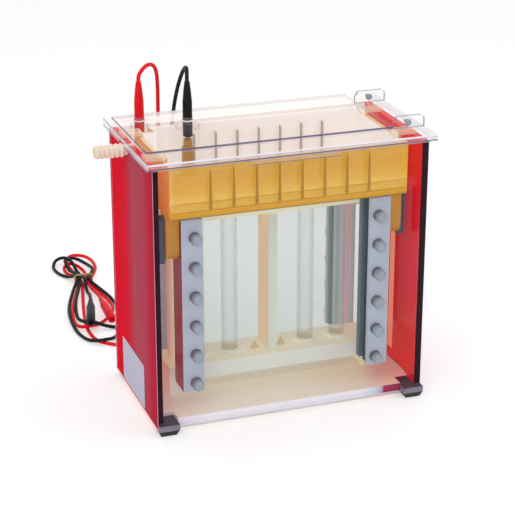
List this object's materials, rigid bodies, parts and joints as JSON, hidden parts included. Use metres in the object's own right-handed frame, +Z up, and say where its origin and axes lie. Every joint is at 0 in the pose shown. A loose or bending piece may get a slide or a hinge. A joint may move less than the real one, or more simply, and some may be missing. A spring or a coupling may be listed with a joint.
{
  "type": "gel electrophoresis tank",
  "caption": "Clear and red buffer tank for vertical slab gels, with a lift-out heat exchanger, an amber upper chamber holding clamped glass sandwiches, and a clear safety lid with leads.",
  "frame": {"origin": "on the floor under the middle of the box that holds everything but the loose leads", "axes": "+Z up, -Y the clear front, -X the side of the inlet fitting"},
  "size_m": [0.278, 0.4475, 0.2929],
  "materials": {
    "clear": "clear polished acrylic",
    "red_acrylic": "polished red acrylic",
    "cream_plastic": "cream moulded plastic",
    "black_rubber": "black rubber",
    "amber_plastic": "amber translucent moulded plastic",
    "grey_rubber": "grey silicone rubber",
    "plate_glass": "clear glass",
    "spacer_grey": "grey plastic sheet",
    "clamp_plastic": "light grey-blue plastic",
    "screw_plastic": "grey plastic",
    "dark_plastic": "dark grey plastic",
    "platinum": "bright platinum wire",
    "red_vinyl": "red flexible lead cover",
    "black_vinyl": "black flexible lead cover",
    "tie_plastic": "yellowish plastic tie"
  },
  "bodies": {
    "tank": {"left_panel": "red_acrylic", "right_panel": "red_acrylic", "front_panel": "clear", "back_panel": "clear", "base_plate": "cream_plastic", "foot_front_left": "black_rubber", "foot_front_right": "black_rubber", "foot_rear_left": "black_rubber", "foot_rear_right": "black_rubber", "lower_electrode_post": "cream_plastic", "lower_electrode_wire": "platinum"},
    "heat_exchanger": {"lower_manifold": "cream_plastic", "upper_manifold": "cream_plastic", "cooling_tube_1": "plate_glass", "cooling_tube_2": "plate_glass", "cooling_tube_3": "plate_glass", "cooling_tube_4": "plate_glass", "riser_tube": "cream_plastic", "center_post": "cream_plastic", "inlet_port": "cream_plastic"},
    "upper_chamber": {"upper_chamber": "amber_plastic", "gasket_front": "grey_rubber", "gasket_rear": "grey_rubber", "upper_electrode_post": "amber_plastic", "upper_electrode_wire": "platinum", "glass_plate_front_outer": "plate_glass", "glass_plate_front_inner": "plate_glass", "spacer_front_left": "spacer_grey", "spacer_front_right": "spacer_grey", "clamp_front_left": "clamp_plastic", "clamp_front_right": "clamp_plastic", "glass_plate_rear_outer": "plate_glass", "glass_plate_rear_inner": "plate_glass", "spacer_rear_left": "spacer_grey", "spacer_rear_right": "spacer_grey", "clamp_rear_left": "clamp_plastic", "clamp_rear_right": "clamp_plastic"},
    "lid": {"lid": "clear", "lid_lug_front": "clear", "lid_lug_rear": "clear", "red_lead_collar": "clear", "black_lead_collar": "clear", "red_lead_boot": "red_vinyl", "black_lead_boot": "black_vinyl", "red_lead": "red_vinyl", "black_lead": "black_vinyl", "lead_hank": "red_vinyl", "hank_tie": "tie_plastic", "black_lead_plug": "black_vinyl", "red_lead_plug": "red_vinyl"},
    "cam_front_left": {"cam_front_left": "dark_plastic"},
    "pressure_bar_front_left": {"pressure_bar_front_left": "screw_plastic"},
    "cam_front_right": {"cam_front_right": "dark_plastic"},
    "pressure_bar_front_right": {"pressure_bar_front_right": "screw_plastic"},
    "cam_rear_left": {"cam_rear_left": "dark_plastic"},
    "pressure_bar_rear_left": {"pressure_bar_rear_left": "screw_plastic"},
    "cam_rear_right": {"cam_rear_right": "dark_plastic"},
    "pressure_bar_rear_right": {"pressure_bar_rear_right": "screw_plastic"}
  },
  "joints": [
    {"name": "exchanger_lift", "type": "slide", "parent": "tank", "child": "heat_exchanger", "axis": [0, 0, 1], "range_m": [0, 0.23]},
    {"name": "chamber_lift", "type": "slide", "parent": "heat_exchanger", "child": "upper_chamber", "axis": [0, 0, 1], "range_m": [0, 0.23]},
    {"name": "lid_lift", "type": "slide", "parent": "upper_chamber", "child": "lid", "axis": [0, 0, 1], "range_m": [0, 0.1]},
    {"name": "cam_turn_front_left", "type": "hinge", "parent": "upper_chamber", "child": "cam_front_left", "pos_m": [-0.0968, -0.0385, 0.168], "axis": [1, 0, 0], "range_deg": [0, 90]},
    {"name": "pressure_release_front_left", "type": "slide", "parent": "upper_chamber", "child": "pressure_bar_front_left", "axis": [0, -1, 0], "range_m": [0, 0.0015]},
    {"name": "cam_turn_front_right", "type": "hinge", "parent": "upper_chamber", "child": "cam_front_right", "pos_m": [0.1208, -0.0385, 0.168], "axis": [1, 0, 0], "range_deg": [0, 90]},
    {"name": "pressure_release_front_right", "type": "slide", "parent": "upper_chamber", "child": "pressure_bar_front_right", "axis": [0, -1, 0], "range_m": [0, 0.0015]},
    {"name": "cam_turn_rear_left", "type": "hinge", "parent": "upper_chamber", "child": "cam_rear_left", "pos_m": [-0.0968, 0.0385, 0.168], "axis": [1, 0, 0], "range_deg": [-90, 0]},
    {"name": "pressure_release_rear_left", "type": "slide", "parent": "upper_chamber", "child": "pressure_bar_rear_left", "axis": [0, 1, 0], "range_m": [0, 0.0015]},
    {"name": "cam_turn_rear_right", "type": "hinge", "parent": "upper_chamber", "child": "cam_rear_right", "pos_m": [0.1208, 0.0385, 0.168], "axis": [1, 0, 0], "range_deg": [-90, 0]},
    {"name": "pressure_release_rear_right", "type": "slide", "parent": "upper_chamber", "child": "pressure_bar_rear_right", "axis": [0, 1, 0], "range_m": [0, 0.0015]}
  ]
}
